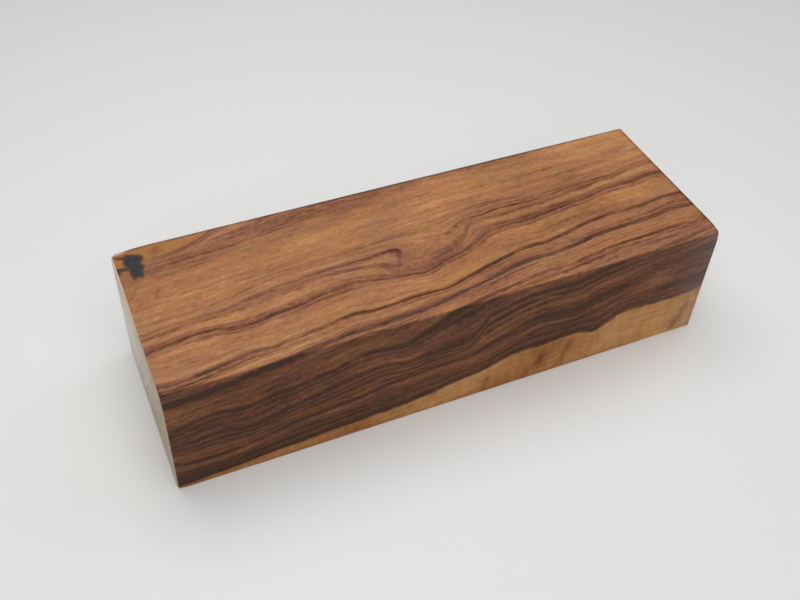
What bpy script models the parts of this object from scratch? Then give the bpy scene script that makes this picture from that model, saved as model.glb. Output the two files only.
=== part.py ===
"""Arizona ironwood block: a sawn and sanded blank of desert ironwood, one solid piece.

The block lies on a long face, as it would on a bench. The grain runs along X, the long face with
the sapwood looks along -Y, and Z is up. The origin is at the middle of the resting face.
"""

import math

import bmesh
import bpy
from mathutils import Vector

MM = 0.001

LENGTH = 127.0 * MM  # X, along the grain
WIDTH = 41.7 * MM  # Y
HEIGHT = 30.5 * MM  # Z

# Sandpaper took this much off every edge.
EDGE_EASE = 0.35 * MM

# Corners that are worn rounder than the edges: which way the corner lies, how much rounder
# it is, and how far the wear reaches along X, Y and Z.
WORN_CORNERS = (
    ((-1, 1, 1), 0.9 * MM, (4.0 * MM, 2.0 * MM, 2.0 * MM)),
    ((1, -1, 1), 0.7 * MM, (2.0 * MM, 2.0 * MM, 2.0 * MM)),
    ((-1, -1, 1), 0.4 * MM, (4.0 * MM, 2.0 * MM, 2.0 * MM)),
    ((-1, -1, -1), 0.4 * MM, (2.0 * MM, 2.0 * MM, 2.0 * MM)),
)

# Distances in from each end of a side at which the faces are divided, so that an edge is round,
# and the number of equal divisions between them.
EDGE_DIVISIONS = (0.15 * MM, 0.45 * MM, 0.9 * MM, 1.6 * MM, 3.2 * MM)
MIDDLE_DIVISIONS = (5, 2, 1)

# The pale sapwood is a wedge along the foot of the front face. It thins towards the left end,
# and the growth layers carry it down as it runs back.
SAPWOOD_HEIGHT_LEFT = 1.3 * MM
SAPWOOD_HEIGHT_RIGHT = 14.2 * MM
SAPWOOD_FALL = 1.5  # down per unit of depth

# The name, colour and roughness of each material, in the order of the block's material slots.
MATERIALS = (
    ("heartwood", (0.27, 0.12, 0.055, 1.0), 0.50),
    ("sapwood", (0.62, 0.42, 0.20, 1.0), 0.50),
    ("sealed_end_grain", (0.50, 0.44, 0.38, 1.0), 0.40),
)
HEARTWOOD, SAPWOOD, SEALED_END_GRAIN = range(len(MATERIALS))

# Faces that meet at a steeper angle than this have a sharp edge between them.
SHARP_ANGLE = math.radians(40)

HALF = Vector((LENGTH, WIDTH, HEIGHT)) / 2


def make_material(name, colour, roughness):
    material = bpy.data.materials.new(name)
    material.use_nodes = True
    shader = material.node_tree.nodes["Principled BSDF"]
    shader.inputs["Base Color"].default_value = colour
    shader.inputs["Roughness"].default_value = roughness
    shader.inputs["Metallic"].default_value = 0.0
    return material


def division_places(half, middle_count):
    """Places along one side, from -half to half, where its faces are divided."""
    inner = half - EDGE_DIVISIONS[-1]
    places = [sign * (half - inset) for sign in (-1, 1) for inset in EDGE_DIVISIONS]
    places += [inner * (2 * step / middle_count - 1) for step in range(1, middle_count)]
    return sorted(places)


def cut(mesh, place, normal):
    """Divides the faces where a plane crosses them. Nothing is taken away."""
    geometry = mesh.verts[:] + mesh.edges[:] + mesh.faces[:]
    bmesh.ops.bisect_plane(mesh, geom=geometry, plane_co=place, plane_no=normal, dist=1e-7)


def divided_block():
    """The sharp block about its own centre, divided closely near its edges."""
    mesh = bmesh.new()
    bmesh.ops.create_cube(mesh, size=1.0)
    bmesh.ops.scale(mesh, vec=HALF * 2, verts=mesh.verts)
    for axis, middle_count in enumerate(MIDDLE_DIVISIONS):
        normal = Vector((axis == 0, axis == 1, axis == 2))
        for place in division_places(HALF[axis], middle_count):
            cut(mesh, normal * place, normal)
    return mesh


def edge_radius(point):
    """How round the block's edges are near a point."""
    radius = EDGE_EASE
    for signs, extra, reach in WORN_CORNERS:
        away = [(sign * half - at) / far for sign, half, at, far in zip(signs, HALF, point, reach)]
        radius += extra * math.exp(-sum(step * step for step in away))
    return radius


def eased(point):
    """Moves a point of the sharp block onto the block with eased edges and worn corners."""
    radius = edge_radius(point)
    inner = Vector([max(radius - half, min(half - radius, at)) for half, at in zip(HALF, point)])
    outward = point - inner
    # Only a point near an edge is outside the inner block along more than one axis.
    if outward.length <= radius:
        return point
    return inner + outward.normalized() * radius


def sapwood_plane():
    """A point of the boundary between sapwood and heartwood, and its upward normal."""
    rise = (SAPWOOD_HEIGHT_RIGHT - SAPWOOD_HEIGHT_LEFT) / LENGTH
    middle_height = (SAPWOOD_HEIGHT_LEFT + SAPWOOD_HEIGHT_RIGHT) / 2
    place = Vector((0, -HALF.y, middle_height - HALF.z))
    return place, Vector((-rise, SAPWOOD_FALL, 1)).normalized()


def wood_of(face, place, normal):
    """The material slot of a face of the sharp block."""
    if abs(face.normal.x) > 0.5:
        return SEALED_END_GRAIN
    below = (face.calc_center_median() - place).dot(normal) < 0
    return SAPWOOD if below else HEARTWOOD


def make_block():
    mesh = divided_block()
    place, normal = sapwood_plane()
    cut(mesh, place, normal)
    mesh.normal_update()
    for face in mesh.faces:
        face.material_index = wood_of(face, place, normal)
        face.smooth = True
    for vertex in mesh.verts:
        vertex.co = eased(vertex.co) + Vector((0, 0, HALF.z))
    bmesh.ops.recalc_face_normals(mesh, faces=mesh.faces)

    data = bpy.data.meshes.new("ironwood_block")
    mesh.to_mesh(data)
    mesh.free()
    data.set_sharp_from_angle(angle=SHARP_ANGLE)
    for name, colour, roughness in MATERIALS:
        data.materials.append(make_material(name, colour, roughness))
    block = bpy.data.objects.new("ironwood_block", data)
    bpy.context.scene.collection.objects.link(block)
    return block


def clear_scene():
    for thing in list(bpy.data.objects):
        bpy.data.objects.remove(thing, do_unlink=True)


clear_scene()
make_block()
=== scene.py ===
"""Arizona ironwood block: the finished surface of the sawn and sanded blank.

The wood is drawn as one solid field, the growth ring, which every face cuts through. Curves read
along the top and front faces fix the ring there. The other faces, and the wood between them,
follow from the same field, so each streak runs on over the edges.
"""

import math

import bpy
import numpy as np
from mathutils import Matrix, Vector


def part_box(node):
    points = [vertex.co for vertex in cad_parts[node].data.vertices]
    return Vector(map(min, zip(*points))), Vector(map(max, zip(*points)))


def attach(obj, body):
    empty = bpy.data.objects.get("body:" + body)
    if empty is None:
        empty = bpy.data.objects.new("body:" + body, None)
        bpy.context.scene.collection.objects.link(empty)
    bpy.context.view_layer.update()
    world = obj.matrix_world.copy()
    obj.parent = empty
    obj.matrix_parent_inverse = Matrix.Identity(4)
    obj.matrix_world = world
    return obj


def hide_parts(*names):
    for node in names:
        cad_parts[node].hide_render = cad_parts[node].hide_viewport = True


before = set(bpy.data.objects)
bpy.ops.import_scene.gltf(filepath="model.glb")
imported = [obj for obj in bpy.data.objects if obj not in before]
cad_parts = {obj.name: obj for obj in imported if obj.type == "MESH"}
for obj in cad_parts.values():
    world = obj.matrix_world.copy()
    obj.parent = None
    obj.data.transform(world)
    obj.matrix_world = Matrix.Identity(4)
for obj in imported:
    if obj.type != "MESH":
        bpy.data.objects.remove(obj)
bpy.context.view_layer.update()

MM = 0.001
NODE = "ironwood_block"
LOW, HIGH = (np.array(corner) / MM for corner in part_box(NODE))
HALF = (HIGH - LOW) / 2
LEFT, FRONT = LOW[:2]
RIGHT, BACK, TOP = HIGH

# Lengths are in millimetres, unless they say otherwise.

# The block's shape, as in the solid model: how far its edges are eased, and the corners that are
# worn rounder, with the side each lies on, how much rounder it is and how far that reaches.
EDGE_EASE = 0.35
WORN_CORNERS = (
    ((-1, 1, 1), 0.9, (4, 2, 2)),
    ((1, -1, 1), 0.7, (2, 2, 2)),
    ((-1, -1, 1), 0.4, (4, 2, 2)),
    ((-1, -1, -1), 0.4, (2, 2, 2)),
)

# Mesh lines: how far in from each end of a side they lie, and then places along it, from its
# start, and the spacing up to each.
EDGE_LINES = (0.06, 0.13, 0.21, 0.3, 0.42, 0.58, 0.8, 1.1, 1.5, 2.1)
X_SPACING = ((-54, 0.45), (-14, 1), (14, 0.5), (62, 1))
Y_SPACING = ((21, 0.37),)
Z_SPACING = ((31, 0.4),)

# Growth rings: higher towards the back and top of the block, where the heart of the tree lay.
# Each guide is a ring's number and the places where it shows, (x, y) on the top face.
TOP_GUIDES = (
    (-27, ((-64, -40), (0, -27), (30, -22.8), (44, -21), (50, -20.2), (54, -20), (58, -19.4),
     (64, -18.5))),
    (-23, ((-64, -31), (-20, -24), (-8, -22.1), (0, -20.9), (6, -19.8), (10, -19.3), (14, -18.7),
     (18, -18.2), (22, -17.9), (26, -18.1), (30, -17.3), (34, -16.8), (38, -16.3), (44, -16), (48, -15.9),
     (54, -15.5), (57, -15.4), (59, -16.1), (60.5, -16.1), (62, -15.1), (64, -14.4))),
    (-18, ((-64, -24), (-50, -22.3), (-40, -21.2), (-34, -20.4), (-28, -19.7), (-26, -19.3), (-22, -18.9),
     (-18, -19.2), (-14, -18.8), (-10, -18.7), (-6, -18.2), (-2, -17.4), (4, -16.4), (8, -15.5),
     (12, -14.6), (16, -13.8), (20, -13.4), (24, -13.5), (28, -13), (32, -12.6), (36, -11.8), (40, -11.5),
     (46, -11.2), (50, -11.1), (54, -10.6), (58, -10.1), (64, -10.3))),
    (-14, ((-64, -18.5), (-60, -18.9), (-56, -18.6), (-52, -18.1), (-48, -17.3), (-46, -16.8),
     (-44, -16.7), (-40, -17), (-36, -16.5), (-32, -16), (-28, -15.5), (-24, -14.8), (-22, -14.5),
     (-20, -14.7), (-18, -15.1), (-14, -15.1), (-10, -14.6), (-6, -14.6), (-2, -14.8), (0, -14.5),
     (4, -13.3), (8, -12.3), (12, -11.3), (16, -10.4), (19, -9.8), (22, -9.6), (25, -9.8), (28, -9.2),
     (32, -8.4), (36, -7.4), (40, -6.9), (44, -6.6), (50, -6.6), (54, -6.3), (58, -5.7), (64, -5.8))),
    (-6.5, ((-64, -9.9), (-60, -9.4), (-56, -8.9), (-52, -8.4), (-50, -8.5), (-48, -8.9), (-46, -9.5),
     (-44, -9.7), (-41, -9.5), (-38, -9), (-34, -8.7), (-32, -8.5), (-30, -7.9), (-26, -7), (-22, -6.6),
     (-19, -6.3), (-17, -6.6), (-14, -7.3), (-10, -8), (-6, -8.4), (-3.5, -8.7), (-1.5, -8.2), (0, -7.7),
     (2, -6.9), (4, -6.5), (6, -6), (8, -5.2), (10, -4.4), (12, -3.4), (14, -2.3), (16, -1.8), (20, -1.6),
     (24, -1.7), (28, -1.2), (32, -0.7), (36, -0.1), (40, 0.2), (44, 1), (48, 1.6), (52, 1.6), (56, 2),
     (60, 2.5), (64, 2.4))),
    (-3.5, ((-64, -6.3), (-58, -5.7), (-54, -5.2), (-48, -5.3), (-44, -4.9), (-40, -4.5), (-36, -3.9),
     (-32, -3.4), (-28, -2.6), (-24, -2.2), (-20, -2.5), (-16, -2.8), (-13.5, -3.1), (-12, -3.9),
     (-11, -4.9), (-10, -5.8), (-9, -6.4), (-7, -7), (-5, -7.5), (-3, -7.6), (-1, -7.2), (1, -6.5),
     (3, -5.9), (5, -5.2), (7, -4.4), (9, -3.5), (10.5, -2.4), (12, -1.3), (14, -0.9), (18, -0.8),
     (24, -0.8), (28, -0.5), (31, 0), (34, 0.2), (38, 0.6), (42, 1.1), (46, 1.9), (50, 2.4), (54, 2.8),
     (58, 3.4), (64, 3.6))),
    (-1.5, ((-64, -5.2), (-58, -4.5), (-52, -4.2), (-46, -3.9), (-42, -3.2), (-38, -2.6), (-34, -2),
     (-30, -1.5), (-26, -1), (-20, -0.8), (-14, -0.8), (-10, -0.3), (-6.8, -0.2), (-6.2, -0.9),
     (-5.9, -2.5), (-5.6, -4.5), (-5, -6.2), (-3.6, -6.9), (-2, -6.6), (0, -6.1), (2, -5.4), (4, -4.8),
     (6, -4.1), (7.5, -3.1), (8.6, -2.2), (9.6, -1.1), (10.4, 0.1), (11.4, 1.2), (13, 1.8), (16, 2),
     (20, 1.8), (26, 1.9), (30, 2), (34, 2.6), (38, 3.1), (42, 3.7), (46, 4.3), (50, 4.5), (54, 5.2),
     (60, 6), (64, 6.4))),
    (1.5, ((-64, -3.4), (-56, -3), (-50, -2.6), (-46, -2), (-42, -0.9), (-38, 0.1), (-34, 0.8), (-28, 1.2),
     (-20, 1.4), (-14, 1.6), (-8, 1.9), (-4, 1.9), (0, 1.4), (3, 0.9), (5.5, 0.7), (7, 1.3), (9, 2.3),
     (11, 3), (13, 3.5), (16, 3.4), (20, 3.9), (26, 3.8), (30, 3.8), (34, 4.1), (38, 4.7), (42, 5.2),
     (46, 5.4), (50, 5.3), (54, 6.2), (58, 7), (64, 7.7))),
    (6.5, ((-64, 3.5), (-50, 4), (-40, 4.8), (-30, 5.4), (-20, 5.8), (-10, 6.4), (0, 7), (10, 8),
     (20, 8.3), (30, 8), (40, 8.6), (50, 9.4), (64, 11))),
    (17, ((-64, 13.3), (-54, 13.9), (-46, 14.3), (-38, 15), (-32, 16), (-26, 16.5), (-20, 17.7), (-14, 18),
     (-10, 18.4), (-4, 18.7), (4, 18.6), (10, 19.2), (20, 19.6), (30, 20.2), (45, 21), (64, 22))),
    (19, ((-64, 14.3), (-54, 14.9), (-48, 15.4), (-42, 16.9), (-38, 17.1), (-35, 17.7), (-32, 18.6),
     (-28, 20), (-20, 21), (0, 21.6), (64, 25))),
    (21, ((-64, 15.2), (-57, 15.4), (-52, 15.8), (-48, 16.4), (-45, 17.4), (-42, 18.8), (-39, 20.2),
     (-30, 22), (0, 24), (64, 28))),
)
# The same rings on the front face, as (x, z). The lowest is the boundary of the sapwood.
SAPWOOD_RING = -41.0
FRONT_GUIDES = (
    (SAPWOOD_RING, ((-64, 1.3), (-60, 1.4), (-56, 1.6), (-52, 1.9), (-48, 2.3), (-44, 2.7), (-40, 3.1),
     (-34, 3.4), (-30, 3.7), (-24, 4.1), (-16, 4.4), (-12, 4.9), (-8, 5.4), (-5, 5.8), (-3.5, 6.3), (0, 7),
     (4, 7.5), (8, 8.5), (12, 9.8), (14, 10.3), (18, 10.5), (24, 10.6), (28, 10.8), (30, 10.7), (32, 10.3),
     (33.5, 9.8), (34.7, 9.3), (36, 10.2), (38, 11.2), (39.2, 12), (41, 12.8), (44, 12.9), (52, 12.9),
     (56, 13.1), (60, 13.6), (64, 14.3))),
    (-34, ((-64, 8), (-60, 7.3), (-57, 6.9), (-54, 6.7), (-50, 7.1), (-46, 7.8), (-42, 8.8), (-38, 9.6),
     (-34, 10.2), (-30, 10.7), (-24, 11.1), (-20, 12), (-16, 12.7), (-10, 13.2), (-6, 13.6), (0, 13.5),
     (4, 13.9), (8, 15.4), (12, 17), (16, 18.4), (19, 19.2), (22, 18.9), (25, 18.4), (28, 18), (30, 18.1),
     (33, 19.7), (36, 20.6), (39, 21.6), (42, 22.6), (46, 23.6), (50, 24.2), (54, 24.4), (58, 25),
     (64, 25.7))),
    (-27, ((-64, 14.3), (-60, 14.3), (-58, 14.1), (-56, 14.6), (-52, 14.3), (-50, 13.8), (-47, 13.2),
     (-44, 13.6), (-42, 14.2), (-38, 15.4), (-34, 16.3), (-30, 17.1), (-26, 18), (-22, 18.9), (-18, 19.5),
     (-16, 19.2), (-14, 18.4), (-11, 18.1), (-8, 18.6), (-4, 18.8), (0, 18.5), (1.5, 18.7), (3, 20),
     (4, 21.5), (5, 23.4), (6, 24.7), (8, 25.8), (10, 26.2), (12, 27), (16, 27.8), (21, 28), (26, 27.5),
     (29, 27.9), (31, 28.9), (34, 29.6), (40, 30.2), (47, 30.5), (64, 33))),
    (-23, ((-64, 18.3), (-60, 19), (-56, 20.2), (-53, 20.4), (-50, 20), (-47, 19.5), (-44, 20.2),
     (-41, 20.9), (-38, 20.7), (-36, 21), (-34, 21.8), (-30, 22.4), (-26, 23.8), (-23, 24.6), (-20, 24.5),
     (-17, 23.9), (-14, 23.7), (-12, 24.1), (-10, 25), (-8, 25.8), (-6, 26.6), (-4, 27.6), (-2, 28.5),
     (0, 29.4), (2, 30.3), (20, 34), (64, 46))),
    (-18, ((-64, 27.3), (-56, 27.4), (-50, 28.2), (-46, 28.7), (-42, 29.2), (-38, 29.8), (-34, 30.6),
     (0, 38), (64, 60))),
)
SMALLEST_GAP = 0.25

# Inside the block and on its hidden faces the rings are nearly flat layers: their number at the
# middle of the front top edge, its rise along X, Y and Z, and how far the drawn faces reach in.
RING_AT_EDGE = -23.2
RING_RISE = (-0.105, 1.1, 0.78)
DRAWN_DEPTH = 15.0

# The front's rings bend to meet the top's within about this far of the edge between them.
EDGE_BLEND = 3.0

# Slow random waves bend the flat layers. They are this high, in rings, and each has a random
# length along X, Y and Z.
WAVE_SEED = 7
WAVE_COUNT = 12
WAVE_HEIGHT = 0.9
SHORTEST_WAVE = (25, 9, 9)
LONGEST_WAVE = (70, 30, 30)

# The fibres rise across the rings, by this much per unit of length, and less so to the right.
FIBRE_LEAN = 0.10
FIBRE_LEAN_CHANGE = 0.0010

# The third direction of the grain's patterns, along the rings, counts Z and this share of -Y.
ALONG_RING_SHARE = 0.7

# Dark streaks: the ring, its half width in rings, and (x, how dark it is). Below 0 it is lighter.
STREAKS = (
    (22.5, 0.5, ((-64, 0), (-56, 0.1), (-50, 0.3), (-40, 0.1), (64, 0))),
    (21, 0.6, ((-64, 0), (-56, 0.1), (-51, 0.3), (-45, 0.3), (-41, 0.1), (-36, 0.05), (64, 0))),
    (19.4, 0.5, ((-64, 0), (-50, 0.1), (-42, 0.25), (-36, 0.3), (-28, 0.35), (-22, 0.35), (-16, 0.15),
     (64, 0.1))),
    (18.4, 0.4, ((-64, 0), (-52, 0.2), (-44, 0.1), (-38, 0.2), (-30, 0.1))),
    (17.3, 1.7, ((-64, 0), (-50, 0.15), (-40, 0.1), (-30, 0.15), (-24, 0.3), (-16, 0.3), (-8, 0.25),
     (0, 0.1), (10, 0.2), (24, 0.2), (40, 0.15), (64, 0.1))),
    (16.1, 0.6, ((-64, 0), (-56, 0.15), (-48, 0.35), (-38, 0.3), (-30, 0.25), (-22, 0.1), (64, 0))),
    (13.2, 0.35, ((-64, 0), (-50, 0.15), (-42, 0.1), (-34, 0.15), (-26, 0.05), (64, 0))),
    (10.6, 0.35, ((8, 0), (14, 0.15), (24, 0.05), (34, 0.2), (42, 0.1), (64, 0))),
    (8, 0.4, ((-64, 0.05), (-40, 0.1), (-10, 0), (0, 0.15), (14, 0.15), (28, 0.1), (38, 0.2), (50, 0.1),
     (64, 0.05))),
    (6.4, 0.4, ((-64, 0.05), (-48, 0.1), (-26, 0.1), (-14, 0.15), (0, 0.1), (6, 0.15), (16, 0))),
    (4.9, 0.8, ((-64, 0), (-56, 0.1), (-44, 0.15), (-34, 0.1), (-14, 0.05), (0, 0.1), (6, 0.25), (14, 0.3),
     (22, 0.25), (32, 0.15), (40, 0.2), (50, 0.1), (64, 0.05))),
    (3.7, 1.3, ((-26, 0.1), (-12, 0.2), (-7, 0.3), (-3, 0.2), (2, 0.05), (64, 0))),
    (1.8, 0.5, ((-50, 0.1), (-40, 0.15), (-28, 0), (4, 0.15), (10, 0.5), (20, 0.6), (29, 0.45), (32, 0.1),
     (36, 0.45), (48, 0.5), (56, 0.3))),
    (-1.1, 0.9, ((-64, 0.2), (-52, 0.25), (-42, 0.3), (-32, 0.25), (-20, 0.35), (-13, 0.45), (-9, 0.45),
     (-6.5, 0.3), (-5.8, 0.05), (4, 0.1), (12, 0.25), (20, 0.3), (27, 0.15), (36, 0.2), (48, 0.3),
     (64, 0.25))),
    (-3.3, 0.8, ((-64, 0.35), (-50, 0.4), (-38, 0.3), (-12, 0.3), (-6, 0.15), (0, 0.1), (14, 0.25),
     (24, 0.4), (34, 0.32), (44, 0.2))),
    (-5.6, 0.35, ((-36, 0.3), (-22, 0.2), (-12, 0.25), (0, 0.3), (12, 0.25), (28, 0.3), (44, 0.3),
     (58, 0.45), (64, 0.4))),
    (-6.4, 0.8, ((-64, 0.35), (-52, 0.5), (-44, 0.4), (-36, 0.4), (-30, 0.45), (-22, 0.22), (-14, 0.5),
     (-8, 0.4), (0, 0.4), (8, 0.35), (14, 0.3), (28, 0.35), (44, 0.3), (58, 0.4), (64, 0.35))),
    (-7.6, 0.45, ((-64, 0.2), (-46, 0.3), (-34, 0.2), (-20, 0.3), (-12, 0.15), (2, 0.3), (10, 0.3),
     (20, 0.2), (38, 0.35), (50, 0.25))),
    (-9.4, 0.35, ((-64, 0.1), (-50, 0.2), (-40, 0.05), (-16, 0.15), (0, 0.05), (24, 0.15), (40, 0.1),
     (64, 0.05))),
    (-12.2, 0.3, ((-64, 0.05), (-46, 0.15), (-30, 0.05), (-10, 0.1), (10, 0.05), (40, 0.1))),
    (-12.9, 0.4, ((-46, 0), (-34, -0.25), (-12, -0.25), (10, -0.1), (40, -0.15))),
    (-13.95, 0.8, ((-54, 0.35), (-46, 0.25), (-36, 0.4), (-24, 0.5), (-10, 0.6), (12, 0.6), (22, 0.5),
     (34, 0.55), (50, 0.5), (64, 0.45))),
    (-15.3, 0.3, ((-64, 0.4), (-52, 0.45), (-46, 0.3), (-36, 0.2), (0, 0.2), (10, 0.3), (18, 0.25),
     (30, 0.15), (54, 0.2), (64, 0.25))),
    (-15.9, 0.25, ((-64, 0.1), (-40, 0.25), (-28, 0.15), (-18, 0.1), (8, 0.1), (24, 0.2), (44, 0.15),
     (64, 0.2))),
    (-16.7, 0.35, ((-64, 0.1), (-38, 0.05), (-26, 0.1), (0, 0.1), (20, 0.2), (34, 0.15), (46, 0.35),
     (56, 0.5), (64, 0.45))),
    (-18, 0.95, ((-64, 0.6), (-24, 0.35), (-16, 0.2), (-8, 0.15), (4, 0.2), (14, 0.2), (22, 0.35),
     (34, 0.5), (50, 0.45))),
    (-19.7, 0.35, ((-64, 0), (-32, 0.1), (-22, 0.3), (-12, 0.2), (0, 0.2), (9, 0.35), (18, 0.25),
     (28, 0.1))),
    (-20.5, 0.3, ((-64, 0.1), (-44, 0.2), (-24, 0.1), (-8, 0.15), (14, 0.15), (40, 0.1), (64, 0.15))),
    (-21.6, 0.3, ((-50, 0.1), (-34, 0.2), (-14, 0.1), (10, 0.1), (30, 0.15), (48, 0.05), (64, 0.1))),
    (-22.9, 0.6, ((-64, 0.25), (-48, 0.35), (-38, 0.4), (-24, 0.4), (-12, 0.5), (-4, 0.6), (2, 0.5),
     (10, 0.4), (28, 0.4), (46, 0.45), (64, 0.3))),
    (-24, 0.35, ((-64, 0.25), (-44, 0.3), (-24, 0.25), (-8, 0.3), (26, 0.3), (44, 0.25))),
    (-25.2, 0.3, ((-64, 0.15), (-50, 0.25), (-36, 0.15), (-20, 0.15), (0, 0.1), (30, 0.2), (46, 0.1))),
    (-25.95, 0.2, ((-64, 0), (-48, -0.15), (-36, -0.3), (-14, -0.3), (-4, -0.05), (0, 0))),
    (-26.9, 0.75, ((-64, 0.15), (-52, 0.3), (-44, 0.5), (-20, 0.5), (-14, 0.6), (-6, 0.4), (0, 0.3),
     (8, 0.3), (20, 0.5), (30, 0.4), (44, 0.25), (54, 0.3))),
    (-28.6, 0.5, ((-64, 0.3), (-54, 0.35), (-38, 0.3), (-20, 0.2), (0, 0.3), (10, 0.3), (28, 0.45),
     (36, 0.4), (50, 0.2))),
    (-30, 0.5, ((-64, 0.15), (-40, 0.2), (-20, 0.25), (6, 0.35), (18, 0.4), (24, 0.1), (34, 0.2),
     (64, 0.1))),
    (-31.8, 0.4, ((-64, 0.1), (-44, 0.15), (-10, 0.2), (14, 0.1), (44, 0.1), (64, 0.15))),
    (-33.5, 0.8, ((-64, 0.4), (-48, 0.5), (-16, 0.5), (0, 0.4), (10, 0.4), (22, 0.35), (34, 0.35),
     (42, 0.1), (58, 0.15), (64, 0.2))),
    (-34.8, 0.4, ((-20, -0.2), (8, 0), (18, 0.15), (26, 0.3), (46, 0.1), (64, 0))),
    (-36.6, 0.4, ((-44, 0.2), (-28, 0.25), (-6, 0.1), (10, 0.2), (26, 0.4), (50, 0), (64, 0.1))),
    (-38.4, 0.5, ((-36, 0.25), (-20, 0.2), (4, 0.2), (22, 0.25), (40, 0.15), (52, 0.2))),
    (-40.4, 0.8, ((-64, 0.45), (-40, 0.4), (-20, 0.4), (0, 0.35), (12, 0.4), (26, 0.35), (38, 0.3),
     (44, 0.12), (58, 0.1), (64, 0.05))),
)

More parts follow.
